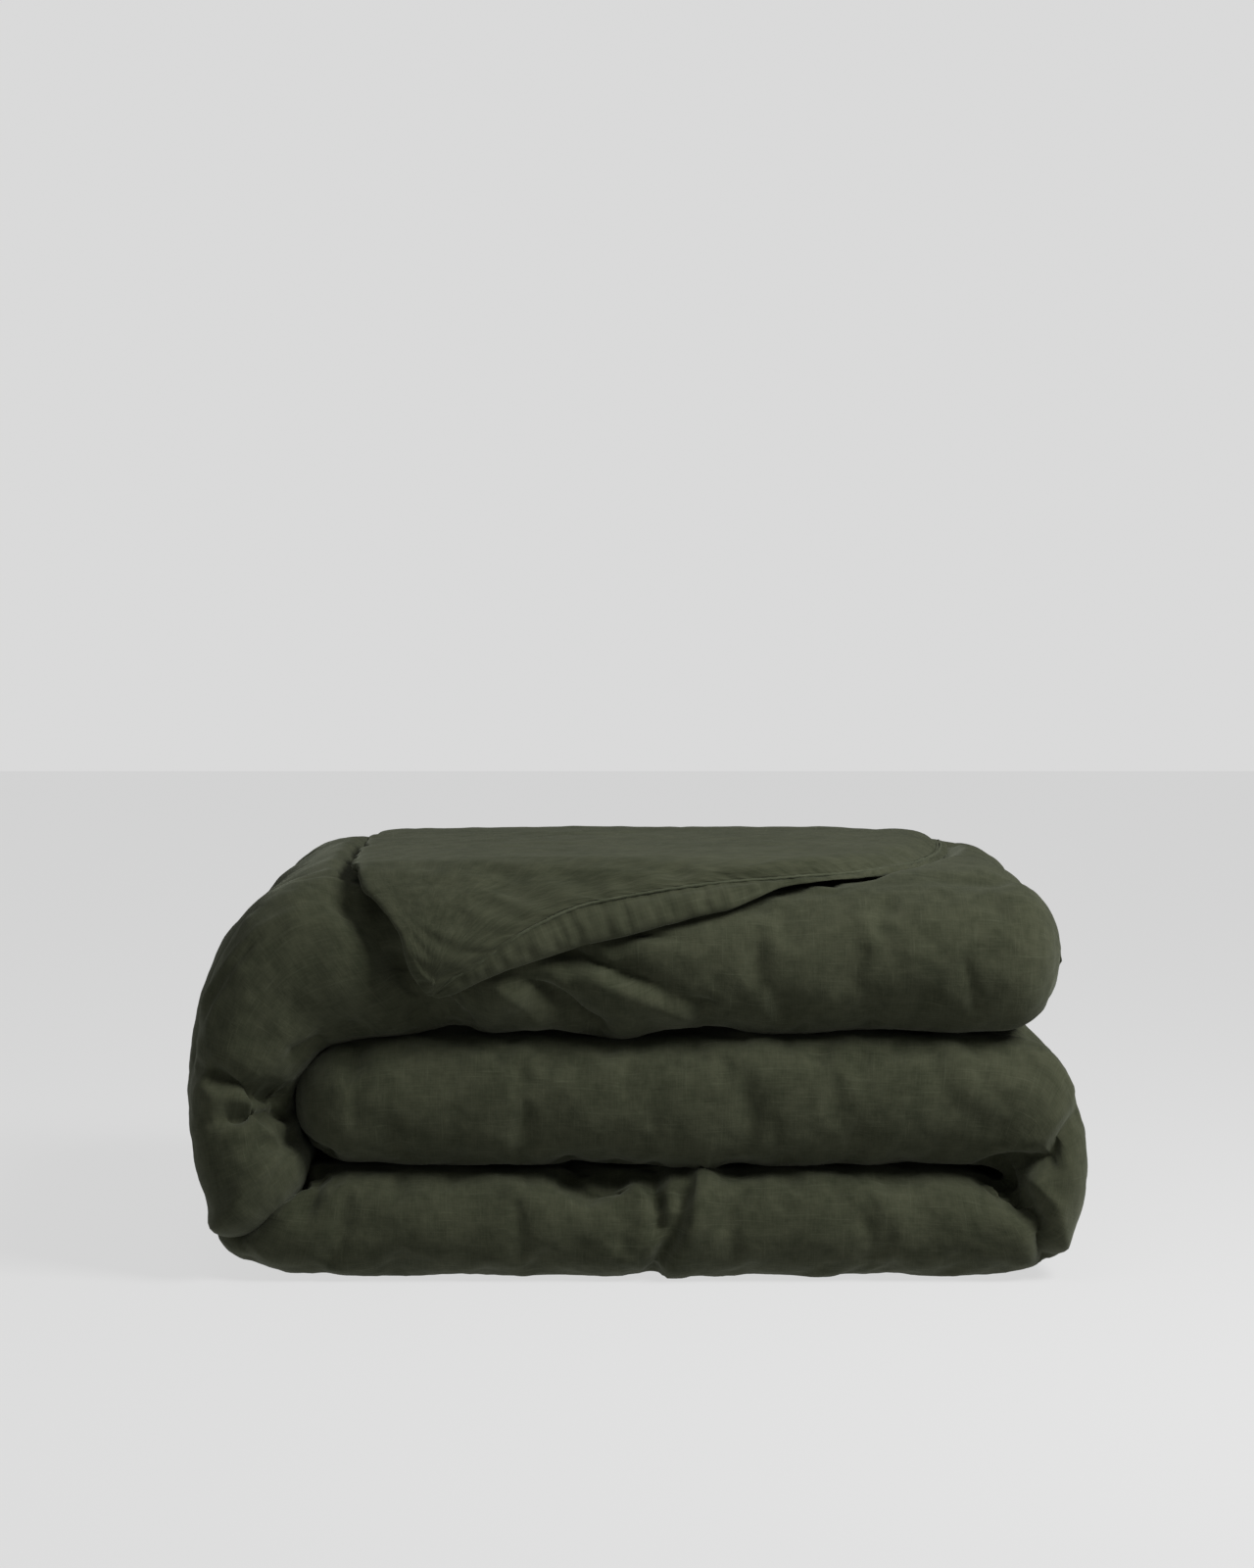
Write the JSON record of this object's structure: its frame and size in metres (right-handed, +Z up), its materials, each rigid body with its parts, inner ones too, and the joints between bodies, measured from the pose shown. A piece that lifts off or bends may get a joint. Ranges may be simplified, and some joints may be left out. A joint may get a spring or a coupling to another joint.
{
  "type": "folded duvet",
  "caption": "Duvet in a dark linen cover, doubled into plies and letter-folded into a stack; the top fold lifts open and one loose corner hangs over the front.",
  "frame": {"origin": "on the floor, under the middle of the folded stack's box", "axes": "+X along the front, left to right, +Y to the back where the hem and head edges are, +Z up"},
  "size_m": [0.76, 0.5532, 0.3548],
  "materials": {
    "cover_linen": "matte washed linen",
    "insert_shell": "matte cotton shell over filling",
    "seam_linen": "matte, stitched",
    "button_shell": "satin",
    "tie_tape": "matte woven tape"
  },
  "bodies": {
    "base": {"button_bottom_1": "button_shell", "button_bottom_2": "button_shell", "button_hem_bottom_third": "cover_linen", "button_hem_left_fold_lower": "cover_linen", "button_hem_middle_third": "cover_linen", "button_hem_right_fold": "cover_linen", "button_middle_1": "button_shell", "button_middle_2": "button_shell", "corner_tie_middle_foot": "tie_tape", "corner_tie_middle_head": "tie_tape", "cover_bottom_third": "cover_linen", "cover_left_fold_lower": "cover_linen", "cover_middle_third": "cover_linen", "cover_right_fold": "cover_linen", "head_seam_bottom_third": "seam_linen", "head_seam_left_fold_lower": "seam_linen", "head_seam_middle_third": "seam_linen", "head_seam_right_fold": "seam_linen", "insert_bottom_third": "insert_shell", "insert_left_fold_lower": "insert_shell", "insert_middle_third": "insert_shell", "insert_right_fold": "insert_shell"},
    "top_third": {"button_hem_left_fold_upper": "cover_linen", "button_hem_top_third": "cover_linen", "button_top_1": "button_shell", "button_top_2": "button_shell", "corner_tie_top_foot": "tie_tape", "cover_left_fold_upper": "cover_linen", "cover_loose_corner": "cover_linen", "cover_top_third": "cover_linen", "head_seam_left_fold_upper": "seam_linen", "head_seam_top_third": "seam_linen", "insert_left_fold_upper": "insert_shell", "insert_loose_corner": "insert_shell", "insert_top_third": "insert_shell"},
    "corner_flap": {"corner_flap_seam": "seam_linen", "corner_tie_flap": "tie_tape", "cover_corner_flap": "cover_linen", "insert_corner_flap": "insert_shell"}
  },
  "joints": [
    {"name": "top_unfold", "type": "hinge", "parent": "base", "child": "top_third", "pos_m": [-0.38, 0, 0.1678], "axis": [0, -1, 0], "range_deg": [0, 105]},
    {"name": "corner_lift", "type": "hinge", "parent": "top_third", "child": "corner_flap", "pos_m": [0, -0.2088, 0.3548], "axis": [-1, 0, 0], "range_deg": [0, 120]}
  ]
}
